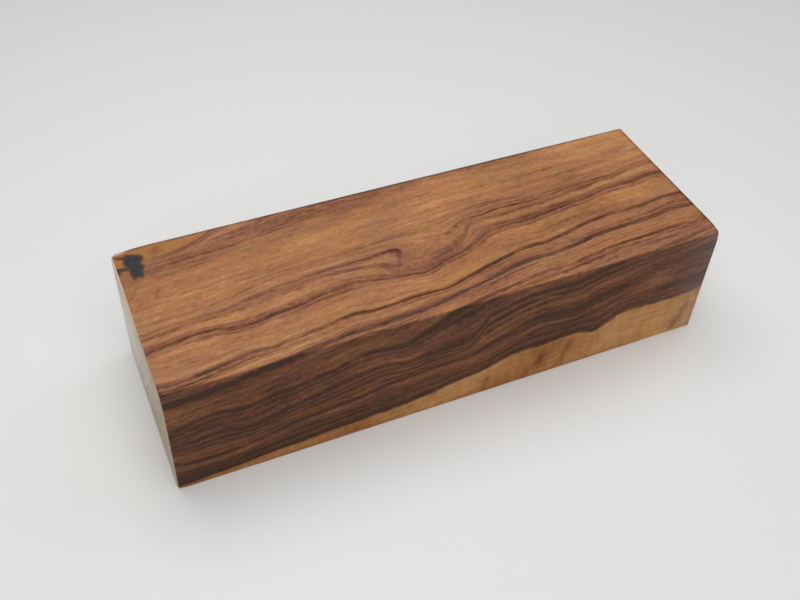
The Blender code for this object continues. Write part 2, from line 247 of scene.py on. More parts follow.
# Broad shading under the streaks, by ring: (x, how dark). At 0 the wood is plain, at 1 darkest.
SHADES = (
    (24, ((-64, 0.15), (-50, 0.1), (-44, 0.1), (64, 0))),
    (21.8, ((-64, 0.1), (-56, 0.25), (-50, 0.38), (-42, 0.35), (-37, 0.1), (64, 0.05))),
    (20.4, ((-54, 0.15), (-46, 0), (-40, -0.05), (-30, 0), (-20, 0.1), (64, 0.05))),
    (18.6, ((-64, 0.2), (-50, 0.25), (-40, 0.2), (-34, 0.25), (-28, 0.15), (-22, 0.3), (-8, 0.2),
     (6, 0.15), (20, 0.05), (64, 0.1))),
    (17.2, ((-50, 0.2), (-34, 0.05), (-28, 0.05), (-20, 0.25), (-8, 0.2), (4, 0.1), (10, -0.05), (20, 0.1),
     (34, 0.25), (46, 0), (64, -0.1))),
    (16, ((-46, 0.25), (-32, 0.15), (-20, 0.3), (-6, 0.25), (8, -0.05), (18, 0), (30, 0.15), (44, -0.05),
     (64, -0.25))),
    (14.2, ((-46, 0.25), (-39, 0.02), (-24, 0.2), (-6, 0.2), (8, -0.02), (20, -0.05), (31, 0.15),
     (44, -0.05), (64, -0.12))),
    (12.4, ((-46, 0.1), (-36, 0.05), (-30, 0.1), (-6, 0.12), (8, 0), (22, -0.05), (31, 0.02), (38, 0.1),
     (46, -0.15))),
    (10.8, ((-64, 0.12), (-46, 0.05), (-20, 0.02), (2, -0.1), (18, 0.06), (31, 0.08), (38, 0.1),
     (46, -0.15), (64, -0.1))),
    (9.2, ((-64, 0.1), (-40, 0.12), (-24, 0), (-8, 0.08), (2, -0.1), (18, -0.04), (32, 0.08), (40, 0.14),
     (48, 0.02), (64, -0.08))),
    (7.4, ((-42, 0.05), (-30, -0.08), (-18, -0.04), (-8, 0.06), (8, 0), (30, 0.1), (40, 0.1), (50, 0.05),
     (64, -0.08))),
    (5.8, ((-64, 0.05), (-44, -0.08), (-30, 0.06), (-18, 0.03), (-6, -0.12), (8, -0.12), (20, 0),
     (32, 0.14), (42, 0.12), (52, -0.1), (64, -0.12))),
    (4.4, ((-40, 0), (-18, 0.02), (0, 0.02), (12, 0.08), (24, 0.17), (40, 0.2), (50, 0.1), (64, 0))),
    (2.8, ((-64, 0), (-56, -0.06), (-46, 0.1), (-36, 0.1), (-26, 0.2), (-14, 0.28), (-6, 0.2), (2, -0.08),
     (12, 0.1), (30, 0.2), (46, 0.15), (60, -0.15))),
    (1.4, ((-64, 0.02), (-52, 0), (-42, 0.2), (-32, 0), (-14, 0), (-4, -0.1), (4, -0.08), (12, 0.2),
     (24, 0.3), (34, 0.25), (46, 0.35), (54, 0.2), (62, 0))),
    (0.4, ((-64, 0), (-48, 0.1), (-30, 0), (-10, 0.05), (-4, 0.18), (4, 0.12), (12, 0.3), (24, 0.35),
     (34, 0.3), (48, 0.45), (58, 0.25), (64, 0.15))),
    (-0.6, ((-64, 0.05), (-46, -0.1), (-34, 0), (-24, 0.18), (-12, 0.15), (0, 0.1), (12, 0.25), (30, 0.25),
     (48, 0.4), (58, 0.2), (64, 0.15))),
    (-2, ((-64, 0.15), (-50, 0.3), (-34, 0.25), (-18, 0.25), (-12, -0.05), (-9, -0.1), (-5, 0.4),
     (2, 0.55), (8, 0.3), (14, 0.1), (30, 0.05), (40, -0.05), (48, -0.08))),
    (-3.2, ((-20, 0), (-8, 0.1), (2, 0.4), (10, -0.1), (18, 0.2), (34, 0.3), (44, 0), (54, -0.15))),
    (-5, ((-64, 0), (-40, -0.05), (-20, 0.05), (-11, 0.15), (2, 0.55), (9, 0.2), (16, 0.5), (34, 0.6),
     (46, 0.5), (64, 0.45))),
    (-6.4, ((-64, 0.35), (-34, 0.3), (-14, 0.25), (2, 0.45), (10, 0.3), (20, 0.4), (38, 0.45), (52, 0.4))),
    (-7.2, ((-64, 0.12), (-34, 0.2), (-24, 0.25), (-14, 0.05), (2, 0.3), (10, 0.25), (20, 0.15), (38, 0.3),
     (52, 0.15), (64, 0.2))),
    (-8.2, ((-64, 0.02), (-30, 0.05), (-18, 0.15), (-8, 0), (2, 0.15), (10, 0.2), (18, 0), (30, 0.05),
     (40, 0.15), (50, 0.02), (60, 0.15))),
    (-9.6, ((-64, 0), (-20, 0.05), (-6, 0), (6, 0.2), (14, 0.15), (24, 0.05), (31, 0.15), (40, 0.1),
     (50, -0.1), (64, -0.05))),
    (-10.8, ((-64, 0.03), (-34, 0.05), (-10, 0), (4, 0.1), (10, 0.2), (24, 0.2), (38, 0.35), (46, 0.08),
     (54, -0.05), (64, 0.1))),
    (-12.4, ((-64, 0), (-44, 0.15), (-30, 0.05), (-12, 0.15), (0, 0.05), (16, 0.12), (30, 0.12),
     (38, 0.25), (46, 0.2), (54, 0), (64, 0.05))),
    (-13.3, ((-64, 0.05), (-48, 0), (-42, 0), (-20, 0.05), (0, 0.15), (20, 0.05), (34, 0.18), (42, 0.2),
     (50, 0), (64, 0.05))),
    (-14, ((-50, 0.35), (-45, 0.1), (-36, 0.15), (-16, 0.3), (0, 0.4), (16, 0.4), (30, 0.25), (42, 0.35),
     (50, 0.1), (64, 0.2))),
    (-14.9, ((-64, 0.3), (-50, 0.35), (-44, 0.1), (-26, 0.05), (0, 0.25), (16, 0.25), (30, 0.05),
     (64, 0.1))),
    (-15.6, ((-64, 0.3), (-54, 0.35), (-44, 0), (-26, 0.05), (-6, 0), (4, 0.1), (12, 0.3), (18, 0.25),
     (26, 0.1), (44, 0.1), (64, 0.2))),
    (-16.3, ((-64, 0.2), (-46, -0.2), (-38, -0.25), (-26, 0), (-18, -0.15), (-6, -0.05), (4, 0.1),
     (20, 0.1), (34, 0), (50, 0.2), (64, 0.25))),
    (-17.3, ((-64, 0.2), (-44, 0), (-37, 0), (-26, 0.35), (0, 0.4), (14, 0.45), (26, 0.25), (40, 0.2),
     (64, 0.25))),
    (-18.3, ((-34, 0.4), (-24, 0.6), (-14, 0.55), (0, 0.45), (14, 0.55), (26, 0.4), (40, 0.3))),
    (-19.1, ((-64, 0.1), (-54, 0.3), (-44, 0.4), (-34, 0.12), (-26, 0.35), (-14, 0.25), (0, 0.15),
     (14, 0.3), (26, 0.1))),
    (-19.6, ((-64, 0), (-26, 0.3), (-12, 0.25), (-4, 0.05), (8, 0.3), (18, 0.15), (28, 0.08), (64, 0))),
    (-21.5, ((-36, 0.2), (-28, 0.08), (-8, 0.1), (0, 0.15), (20, 0.12), (50, 0.15))),
    (-23.4, ((-30, 0.3), (-16, 0.2), (-6, 0.35), (0, 0.25))),
    (-25.2, ((-44, 0.3), (-34, 0.2), (-16, 0.1), (-6, 0.1), (0, 0.35), (8, 0.2), (20, 0.1), (40, 0.2))),
    (-27.5, ((-64, 0.3), (-40, 0.35), (-20, 0.2), (0, 0.25), (28, 0.25), (44, 0.15), (52, 0.2),
     (64, 0.1))),
    (-31, ((-64, 0.12), (-46, 0.2), (-30, 0.18), (-10, 0.2), (0, 0.1), (10, 0.05), (20, 0.15), (40, 0.05),
     (64, -0.05))),
    (-33, ((-64, 0.25), (-30, 0.2), (0, 0.15), (14, 0.25), (24, 0.4), (36, 0.45), (43, 0.2), (52, 0.3),
     (64, 0.25))),
    (-34.6, ((-30, 0.2), (0, 0.1), (14, 0.25), (24, 0.45), (36, 0.45), (56, 0.05), (64, 0.1))),
    (-35.6, ((-64, 0.25), (-30, 0.2), (0, 0.15), (24, 0.2), (34, 0.15), (44, 0.2), (50, 0), (58, 0.1),
     (64, 0.15))),
    (-37, ((-44, 0.5), (-30, 0.4), (0, 0.25), (16, 0.2), (26, 0.45), (40, 0.2), (48, 0), (60, 0.1))),
    (-39, ((-64, 0.45), (-30, 0.4), (0, 0.3), (30, 0.3), (44, 0.25), (50, 0.35), (62, 0.25), (64, 0.2))),
    (-40.4, ((-64, 0.4), (-30, 0.35), (30, 0.25), (50, 0.15), (64, 0.05))),
)

# The same for the sapwood, which is brownest at 1.
SAPWOOD_SHADES = (
    (-41.4, ((-64, 0.5), (-36, 0.42), (-26, 0.6), (-18, 0.38), (-10, 0.28), (0, 0.2), (8, 0.25),
     (15, 0.35), (22, 0.55), (30, 0.5), (38, 0.3), (45, 0.3), (52, 0.25), (60, 0.35))),
    (-43.9, ((-64, 0.3), (-30, 0.5), (-24, 0.6), (-16, 0.4), (-8, 0.25), (0, 0.2), (8, 0.25), (15, 0.4),
     (22.5, 0.8), (30, 0.4), (36, 0.2), (45, 0.15), (52, 0.08), (60, 0.15), (64, 0.2))),
    (-46, ((-64, 0.3), (0, 0.15), (8, 0.35), (15, 0.5), (22.5, 0.6), (30, 0.3), (36, 0.15), (45, 0.08),
     (52, 0.1), (60, 0.2))),
    (-48.5, ((-64, 0.3), (0, 0.25), (8, 0.5), (15, 0.4), (22.5, 0.4), (30, 0.2), (45, 0.1), (52, 0.03),
     (64, 0.05))),
)

# The tint by ring: (x, how purple). Below 0 the wood is golden.
TINTS = (
    (24, ((-64, -0.3), (-56, -1.2), (-44, -1), (-36, -0.3), (64, 0))),
    (21.6, ((-64, 0), (-57, 0.4), (-50, 1.2), (-42, 1), (-37, 0.2), (64, 0))),
    (19.6, ((-64, 0), (-48, 0.2), (-40, 0.2), (64, 0))),
    (17.8, ((-64, 0), (-52, 0.4), (-40, 0.5), (-28, 0.8), (-12, 0.8), (-2, 0.4), (10, 0.1), (64, 0))),
    (14.5, ((-64, -0.2), (-48, 0.2), (-30, 0), (-16, 0.3), (-4, 0), (46, -0.3), (64, -0.4))),
    (9, ((-64, -0.1), (-20, -0.2), (0, 0), (20, -0.1), (64, 0))),
    (3, ((-64, -0.2), (-20, 0.2), (-6, 0.5), (2, 0), (20, 0.1), (34, 0.3), (64, 0))),
    (-0.5, ((-64, 0.1), (-44, 0.4), (-20, 0.7), (0, 0.1), (16, 0.4), (40, 0), (64, -0.1))),
    (-2.4, ((-64, 0.5), (-44, 1), (-20, 1.1), (-8, 0.9), (-2, 1.2), (5, 0.9), (10, 0.2), (14, -0.3),
     (64, -0.1))),
    (-4.4, ((-64, -0.3), (-40, -0.4), (-16, -0.2), (-7, 0.6), (0, 1), (8, 0.7), (14, 0.8), (30, 0.8),
     (64, 0.7))),
    (-6.4, ((-64, 0.9), (-30, 0.8), (-10, 0.4), (4, 0.3), (20, 0.2), (64, 0.5))),
    (-9.5, ((-20, -0.1), (0, -0.2), (20, -0.5), (50, -0.6), (64, -0.3))),
    (-14.2, ((-64, 1.2), (-48, 1.1), (-44, 0.5), (-34, 0), (0, -0.2), (40, 0.2), (64, 0.4))),
    (-16.2, ((-64, 0.3), (-44, -0.3), (-20, -0.3), (10, 0.1), (30, 0.1), (64, 0.3))),
    (-18, ((-44, 1.2), (-20, 1.6), (10, 1.6), (24, 1), (50, 0.6), (64, 0.8))),
    (-20.8, ((-64, -0.5), (-20, -0.2), (0, -0.1), (30, -0.3))),
    (-23.2, ((-64, 0.5), (-30, 0.3), (-6, 0.6), (20, 0.1), (64, 0.2))),
    (-27.6, ((-64, 0.5), (-50, 0.8), (-30, 0.6), (0, 0.5), (20, 0.3), (44, 0.8), (64, 1.2))),
    (-31, ((-64, 0), (-30, -0.4), (0, -0.1), (20, -0.3), (40, 0), (50, 0.8), (64, 1.2))),
    (-33.8, ((-64, 0.5), (-40, 0.7), (-20, 0.5), (20, 0.2), (36, 0.2), (48, 0.8), (64, 1.3))),
    (-35.5, ((-64, 0.3), (-20, 0.1), (20, -0.3), (36, -0.4), (48, -0.2), (58, 0.5), (64, 1.2))),
    (-38.8, ((-64, 0.8), (-40, 0.7), (-20, 0.3), (0, 0.3), (24, 0.4), (44, 0.7), (54, 1.5), (64, 1.7))),
)

# Only the top was sanded back to fresh wood. The other faces are darker by this much, from this
# far below it: partly browner wood, and partly painted shade, as they face away from the light.
OTHER_FACE_TONE_AND_SHADE = 0.42
SANDED_DEPTH = 0.5

# A dark line along the top's back and right edges, partly wood the sandpaper didn't reach and
# partly painted shade on the eased edges, and how far from the edge it ends and is full.
RIM_TONE_AND_SHADE = 0.6
RIM_TONE_AND_SHADE_LIMITS = (0.84, 0.24)

# Painted shade: the sapwood is darkened along the block's foot, where it meets the floor, up to about this
# height.
PAINTED_FOOT_SHADOW = 0.3
PAINTED_FOOT_SHADOW_HEIGHT = 0.7

# A thin grey film lies on the unsanded faces near the right end: where it starts and is full.
FILM_LIMITS = (54, 63)

# The pocket of bark near the top back left corner: the ends and the radius of capsules, as (x, y)
# on the top face. It gets narrower below the face, by this much per unit of depth.
BARK_PIECES = (
    ((-60.3, 17.9), (-58.4, 17.1), 1.15),
    ((-60.0, 16.6), (-59.4, 14.2), 1.60),
    ((-59.4, 14.4), (-59.6, 12.7), 1.35),
    ((-60.5, 12.0), (-60.3, 11.2), 0.35),
    ((-62.4, 18.5), (-60.8, 17.9), 0.42),
    ((-63.2, 15.0), (-61.0, 14.5), 0.46),
    ((-63.1, 14.6), (-62.9, 13.8), 0.35),
    ((-58.3, 14.6), (-57.9, 14.5), 0.45),
    ((-58.6, 12.8), (-58.8, 11.2), 0.35),
)
BARK_TAPER = 0.5

# Single dark marks on the top face, as (x, y), and on the front face, as (x, z): the ends of each,
# its half width and its strength. They fade out below the face within about this depth.
MARK_DEPTH = 2.0
TOP_MARKS = (
    ((-9.6, -0.1), (-8.0, 0.0), 0.35, 0.3),
    ((-8.0, -0.1), (-6.5, -0.5), 0.62, 0.65),
    ((-6.4, -0.4), (-6.8, -1.8), 0.35, 0.5),
    ((-6.8, -1.8), (-7.7, -4.2), 0.30, 0.35),
    ((-7.7, -4.2), (-8.4, -5.9), 0.28, 0.25),
    ((5.6, 0.7), (6.8, 0.5), 0.35, 0.4),
    ((-62.4, 5.6), (-60.4, 8.9), 0.25, 0.3),
    ((-57.6, 4.6), (-56.4, 6.9), 0.18, 0.4),
    ((-54.0, 8.2), (-52.6, 10.2), 0.18, 0.3),
    ((-54.9, 18.0), (-54.2, 18.7), 0.90, 0.25),
)
FRONT_MARKS = (
    ((58.0, 1.8), (58.8, 4.6), 1.0, 0.6),
    ((58.8, 4.6), (60.4, 9.0), 0.8, 0.4),
    ((26.6, 1.6), (27.5, 4.6), 0.9, 0.5),
    ((27.5, 4.6), (28.6, 8.0), 0.9, 0.5),
    ((20.4, 3.8), (21.4, 6.4), 1.0, 0.4),
    ((17.5, 1.4), (18.8, 3.6), 0.8, 0.3),
    ((6.8, 1.6), (7.8, 4.4), 0.8, 0.35),
    ((-23.4, 1.8), (-22.6, 3.6), 0.9, 0.2),
)

# The sealer on the ends, from 0, thin, to 1, thick, with painted light in it: it grows paler towards
# the back and top as a painted sheen of the pale surroundings, and darker low down as painted shade.
# In the middle of an end, how far along Y and Z it takes to be thicker by 1, and how much thinner it
# is within this width of the top and front.
SEALER_MIDDLE = 0.5
SEALER_AND_SHEEN_RISE_LENGTHS = (32, 38)
SEALER_EDGE_LOSS = 0.35
SEALER_EDGE_WIDTH = 1.5

# The sealer is warm in colour near the top: the heights where that starts and is full.
WARM_LIMITS = (17, 28)

# Towards the front, the top edge of each end is rubbed bare this much further in: the places along
# Y and the heights where that starts and is full.
RUBBED_BACK = 0.1
RUBBED_Y_LIMITS = (8, -8)
RUBBED_Z_LIMITS = (26, 29)

# Sealer is smeared over the worn corner at the back left of the top: how far the smear reaches
# along X, Y and Z, and its strength in the middle, of which 1 is used at most. Where it is full,
# the surface counts as this far in from the end, and where there is none, as that much farther.
SMEAR_REACH = (5.0, 1.8, 1.5)
SMEAR_STRENGTH = 1.6
SMEAR_FROM_END = 0.21
SMEAR_FADE = 0.3

# The camera, from the block's corners in the photograph.
CAMERA_AZIMUTH = math.radians(-25.84)
CAMERA_ELEVATION = math.radians(45.22)
CAMERA_ROLL = math.radians(3.08)
CAMERA_DISTANCE = 239.5 * MM
CAMERA_OFFSET = (-4.09 * MM, 8.84 * MM)
LENS = 45.18
SENSOR_WIDTH = 36.0
NEAREST_SEEN = 10 * MM

# A plain floor, in metres, just below the block so that the two faces aren't in one plane.
FLOOR_HALF_SIZE = 1.5
FLOOR_DROP = 0.00002
FLOOR_COLOUR = (0.82, 0.82, 0.81, 1)
FLOOR_ROUGHNESS = 0.9
FLOOR_SPECULAR_LEVEL = 0.1

# Even light from all around, and round softboxes that are each aimed at the block: the place and
# size in metres, and the power in watts.
AMBIENT = 0.15
SOFTBOXES = (
    ("overhead", (-0.05, 0.08, 0.35), 0.30, 0.56),
    ("front", (0.0, -0.30, 0.60), 0.60, 1.37),
    ("right", (0.45, 0.10, 0.50), 0.50, 0.745),
    ("left", (-0.20, -0.30, 0.35), 0.30, 0.395),
)


def fade(at, start, full):
    """How far a value has gone from where something starts, at 0, to where it is full, at 1."""
    return np.clip((at - start) / (full - start), 0, 1)


def smooth_line(points, at):
    """The smooth line through some points, which never overshoots them, at each place."""
    xs, ys = np.array(points, float).T
    secants = np.diff(ys) / np.diff(xs)
    before, after = secants[:-1], secants[1:]
    slopes = np.concatenate((secants[:1], np.zeros(len(xs) - 2), secants[-1:]))
    same_way = before * after > 0
    slopes[1:-1][same_way] = (2 * before * after)[same_way] / (before + after)[same_way]
    cell = np.clip(np.searchsorted(xs, at) - 1, 0, len(xs) - 2)
    width = xs[cell + 1] - xs[cell]
    t = (at - xs[cell]) / width
    return (
        ys[cell] * (1 + 2 * t) * (1 - t) ** 2
        + ys[cell + 1] * t * t * (3 - 2 * t)
        + width * (slopes[cell] * t * (1 - t) ** 2 + slopes[cell + 1] * t * t * (t - 1))
    )


def read_guides(guides, along, across):
    """The ring at each place of a face, between the guides drawn on it."""
    rings = [ring for ring, _ in guides]
    lines = [smooth_line(points, along) for _, points in guides]
    for i in range(1, len(lines)):
        lines[i] = np.maximum(lines[i], lines[i - 1] + SMALLEST_GAP)
    total = np.full(len(along), rings[0], float)
    for i in range(len(lines) - 1):
        share = (across - lines[i]) / (lines[i + 1] - lines[i])
        lowest = -np.inf if i == 0 else 0.0
        highest = np.inf if i == len(lines) - 2 else 1.0
        total += (rings[i + 1] - rings[i]) * np.clip(share, lowest, highest)
    return total


def waves(points):
    """Slow random waves through the solid, which bend the flat layers."""
    random = np.random.default_rng(WAVE_SEED)
    total = np.zeros(len(points))
    for _ in range(WAVE_COUNT):
        lengths = random.uniform(SHORTEST_WAVE, LONGEST_WAVE) * random.choice((-1, 1), 3)
        total += np.sin(points @ (2 * math.pi / lengths) + random.uniform(0, 2 * math.pi))
    return total * WAVE_HEIGHT / math.sqrt(WAVE_COUNT)


def flat_layers(points):
    """The ring at each point, if the rings were nearly flat layers all through the block."""
    return RING_AT_EDGE + (points - (0, FRONT, TOP)) @ RING_RISE + waves(points)


def ring_of(points):
    """The growth ring at points of the block, which equals the drawn one on the top and front."""
    x, y, z = points.T
    front, top = np.full_like(x, FRONT), np.full_like(x, TOP)
    edge_ring = read_guides(TOP_GUIDES, x, front)
    front_mismatch = edge_ring - read_guides(FRONT_GUIDES, x, top)
    front_ring = read_guides(FRONT_GUIDES, x, z) + front_mismatch * np.exp(-(TOP - z) / EDGE_BLEND)
    top_change = read_guides(TOP_GUIDES, x, y) - flat_layers(np.column_stack((x, y, top)))
    front_change = front_ring - flat_layers(np.column_stack((x, front, z)))
    edge_change = edge_ring - flat_layers(np.column_stack((x, front, top)))
    near_top = np.exp(-(((TOP - z) / DRAWN_DEPTH) ** 2))
    near_front = np.exp(-(((y - FRONT) / DRAWN_DEPTH) ** 2))
    return (
        flat_layers(points)
        + near_top * top_change
        + near_front * front_change
        - near_top * near_front * edge_change
    )


def read_by_ring(rows, ring, along):
    """A value given for some rings as lines along X, at each ring and place."""
    rows = sorted(rows)
    lines = [np.interp(along, *np.array(points, float).T) for _, points in rows]
    total = lines[0]
    for (low, _), (high, _), first, second in zip(rows, rows[1:], lines, lines[1:]):
        total = total + (second - first) * np.clip((ring - low) / (high - low), 0, 1)
    return total


def capsule_distance(u, v, start, end):
    """The distance of each (u, v) from a line between two points."""
    du, dv = end[0] - start[0], end[1] - start[1]
    t = np.clip(((u - start[0]) * du + (v - start[1]) * dv) / (du * du + dv * dv), 0, 1)
    return np.hypot(u - start[0] - t * du, v - start[1] - t * dv)


def marks(u, v, pieces):
    """How dark the single marks are at each (u, v) of their face."""
    total = np.zeros(len(u))
    for start, end, half_width, strength in pieces:
        away = capsule_distance(u, v, start, end) / half_width
        total = np.maximum(total, strength * np.exp(-(away**2)))
    return total


def bark_distance(x, y):
    """How far each place of the top face is outside the bark pocket: negative inside."""
    distances = [capsule_distance(x, y, start, end) - radius for start, end, radius in BARK_PIECES]
    return np.min(distances, axis=0)


def mesh_lines(half, spacing):
    """Places of the mesh lines along one side of the block, about its middle."""
    start, end = -half + EDGE_LINES[-1], half - EDGE_LINES[-1]
    places = [-half] + [-half + inset for inset in EDGE_LINES]
    for limit, step in spacing:
        limit = min(limit, end)
        count = max(1, round((limit - start) / step))
        places += [start + (limit - start) * i / count for i in range(1, count + 1)]
        start = limit
    places += [half - inset for inset in reversed(EDGE_LINES[:-1])] + [half]
    return np.array(places)


def sharp_block():
    """The points and four-sided faces of the block before its edges are eased."""
    lines = (
        mesh_lines(HALF[0], X_SPACING),
        mesh_lines(HALF[1], Y_SPACING),
        mesh_lines(HALF[2], [(limit - HALF[2], step) for limit, step in Z_SPACING]),
    )
    counts = np.array([len(line) for line in lines])
    corners = []
    for axis in range(3):
        first, second = (axis + 1) % 3, (axis + 2) % 3
        a, b = np.meshgrid(np.arange(counts[first] - 1), np.arange(counts[second] - 1), indexing="ij")
        a, b = a.ravel(), b.ravel()
        for side in (0, counts[axis] - 1):
            quad = np.zeros((len(a), 4, 3), int)
            quad[:, :, axis] = side
            quad[:, :, first] = np.stack((a, a + 1, a + 1, a), axis=1)
            quad[:, :, second] = np.stack((b, b, b + 1, b + 1), axis=1)
            corners.append(quad if side else quad[:, ::-1])
    corners = np.concatenate(corners)
    keys = (corners[..., 0] * counts[1] + corners[..., 1]) * counts[2] + corners[..., 2]
    _, first_use, faces = np.unique(keys.ravel(), return_index=True, return_inverse=True)
    used = corners.reshape(-1, 3)[first_use]
    points = np.column_stack([lines[axis][used[:, axis]] for axis in range(3)])
    return points, faces.reshape(-1, 4)


def edge_radius(points):
    """How round the edges are near each point of the sharp block."""
    radius = np.full(len(points), EDGE_EASE)
    for signs, extra, reach in WORN_CORNERS:
        away = (signs * HALF - points) / reach
        radius += extra * np.exp(-(away**2).sum(axis=1))
    return radius


def eased(points):
    """The sharp block's points moved onto the block with eased edges and worn corners."""
    radius = edge_radius(points)[:, None]
    inner = np.clip(points, radius - HALF, HALF - radius)
    outward = points - inner
    length = np.linalg.norm(outward, axis=1, keepdims=True)
    return inner + outward * np.minimum(1, radius / length)


def mesh_object(name, points, faces):
    """A new object in the scene, from points in metres and four-sided faces."""
    data = bpy.data.meshes.new(name)
    data.from_pydata(points.tolist(), [], faces.tolist())
    data.validate()
    data.shade_smooth()
    piece = bpy.data.objects.new(name, data)
    bpy.context.scene.collection.objects.link(piece)
    return piece


def set_attribute(piece, name, values):
    """Gives a piece a number or a vector at each point, for its material to read."""
    values = np.asarray(values, np.float32)
    kind = "FLOAT_VECTOR" if values.ndim == 2 else "FLOAT"
    attribute = piece.data.attributes.new(name, kind, "POINT")
    attribute.data.foreach_set("vector" if values.ndim == 2 else "value", values.ravel())


def wood_values(points):
    """What the material reads about the wood at each point."""
    x, y, z = points.T
    below_top = TOP - z
    ring = ring_of(points)
    along_ring = z - ALONG_RING_SHARE * y
    lean = FIBRE_LEAN * x - FIBRE_LEAN_CHANGE * x * x / 2
    # Faces below the top are darker: partly browner wood, partly painted shade.
    other_face = fade(below_top, 0, SANDED_DEPTH)
    # The dark rim on the top's back and right edges is partly painted shade on the eased edges.
    rim = fade(np.minimum(BACK - y, RIGHT - x), *RIM_TONE_AND_SHADE_LIMITS) * (1 - other_face)
    top_marks = marks(x, y, TOP_MARKS) * np.exp(-((below_top / MARK_DEPTH) ** 2))
    front_marks = marks(x, z, FRONT_MARKS) * np.exp(-(((y - FRONT) / MARK_DEPTH) ** 2))
    strengths = [(streak_ring, line) for streak_ring, _, line in STREAKS]
    # Painted shade where the block stands on the floor.
    foot_shadow = PAINTED_FOOT_SHADOW * np.exp(-z / PAINTED_FOOT_SHADOW_HEIGHT)
    return {
        "ring": ring,
        "layers": np.column_stack((x, ring, along_ring)),
        "fibres": np.column_stack((x, ring - lean, along_ring)),
        "streak": read_by_ring(strengths, ring, x),
        "shade": read_by_ring(SHADES, ring, x) + OTHER_FACE_TONE_AND_SHADE * other_face + RIM_TONE_AND_SHADE * rim,
        # The sapwood's own brownness, plus painted shade along its foot.
        "sapwood_shade": read_by_ring(SAPWOOD_SHADES, ring, x) + foot_shadow,
        "tint": read_by_ring(TINTS, ring, x),
        "mark": np.maximum(top_marks, front_marks),
        "bark": bark_distance(x, y) + BARK_TAPER * below_top,
        "film": fade(x, *FILM_LIMITS) * other_face,
    }


def sealer_values(points):
    """What the material reads about the sealer at each point."""
    x, y, z = points.T
    below_top = TOP - z
    rubbed = RUBBED_BACK * fade(y, *RUBBED_Y_LIMITS) * fade(z, *RUBBED_Z_LIMITS)
    past_end = np.abs(x) - HALF[0] - rubbed
    away = np.column_stack((x - LEFT, BACK - y, below_top)) / SMEAR_REACH
    smear = np.minimum(SMEAR_STRENGTH * np.exp(-(away**2).sum(axis=1)), 1)
    rise_y, rise_z = SEALER_AND_SHEEN_RISE_LENGTHS
    # The rise towards the back and top is partly painted sheen, and the fall low down partly painted
    # shade.
    thickness_and_sheen = SEALER_MIDDLE + y / rise_y + (z - HALF[2]) / rise_z
    thickness_and_sheen -= SEALER_EDGE_LOSS * np.exp(-np.minimum(below_top, y - FRONT) / SEALER_EDGE_WIDTH)
    return {
        "end": np.maximum(past_end, SMEAR_FADE * (smear - 1) - SMEAR_FROM_END),
        "sealer_and_sheen": np.clip(thickness_and_sheen, 0, 1),
        "warmth": fade(z, *WARM_LIMITS),
    }


def make_block():
    points, faces = sharp_block()
    points = eased(points) + (0, 0, HALF[2])
    piece = mesh_object("finished_block", points * MM, faces)
    for name, values in {**wood_values(points), **sealer_values(points)}.items():
        set_attribute(piece, name, values)
    return piece


class Shader:
    """Adds shader nodes to a material and joins them as they are made."""

    def __init__(self, name):
        self.material = bpy.data.materials.new(name)
        self.material.use_nodes = True
        self.tree = self.material.node_tree
        self.surface = self.tree.nodes["Principled BSDF"]

    def add(self, kind, inputs=(), output=0, **settings):
        """A new node with its settings and inputs. Gives one of its outputs."""
        node = self.tree.nodes.new(kind)
        for key, value in settings.items():
            setattr(node, key, value)
        for key, value in dict(inputs).items():
            self.plug(node.inputs[key], value)
        return node.outputs[output]

    def plug(self, socket, value):
        """Joins a socket to another node's output, or sets it to a plain value."""
        if isinstance(value, bpy.types.NodeSocket):
            self.tree.links.new(value, socket)
        else:
            socket.default_value = value

    def attribute(self, name, output="Fac"):
        return self.add("ShaderNodeAttribute", output=output, attribute_name=name)

    def math(self, operation, *values):
        return self.add("ShaderNodeMath", enumerate(values), operation=operation)

    def noise(self, vector, scale, detail, roughness):
        """A noise from 0 to 1 that repeats about this often along each direction of the vector."""
        vector = self.add("ShaderNodeVectorMath", {0: vector, 1: scale}, operation="MULTIPLY")
        inputs = {"Vector": vector, "Scale": 1.0, "Detail": detail, "Roughness": roughness}
        return self.add("ShaderNodeTexNoise", inputs)

    def vary(self, value, noises, amounts):
        """Moves a value up and down by noises, whose middle is 0.5, each by its own amount."""
        for name, amount in amounts.items():
            change = self.math("SUBTRACT", noises[name], 0.5)
            value = self.math("MULTIPLY_ADD", change, amount, value)
        return value

    def between(self, value, limits, results=(0.0, 1.0), straight=False):
        """Goes from the first result to the second while a value goes between its limits."""
        names = ("Value", "From Min", "From Max", "To Min", "To Max")
        inputs = zip(names, (value, *limits, *results))
        kind = "LINEAR" if straight else "SMOOTHSTEP"
        return self.add("ShaderNodeMapRange", inputs, interpolation_type=kind)

    def mix(self, factor, first, second, blend="MIX"):
        """Mixes two colours, for which the node has its sockets 6 and 7 and its output 2."""
        inputs = {0: factor, 6: first, 7: second}
        return self.add("ShaderNodeMix", inputs, output=2, data_type="RGBA", blend_type=blend)

    def ramp(self, value, stops, interpolation="LINEAR"):
        """The colour at a value, between the colours given at some values in order."""
        low, high = stops[0][0], stops[-1][0]
        share = self.between(value, (low, high), straight=True)
        node = self.add("ShaderNodeValToRGB", {0: share}).node
        node.color_ramp.interpolation = interpolation
        elements = node.color_ramp.elements
        elements[0].color, elements[1].color = stops[0][1], stops[-1][1]
        for at, colour in stops[1:-1]:
            elements.new((at - low) / (high - low)).color = colour
        return node.outputs[0]


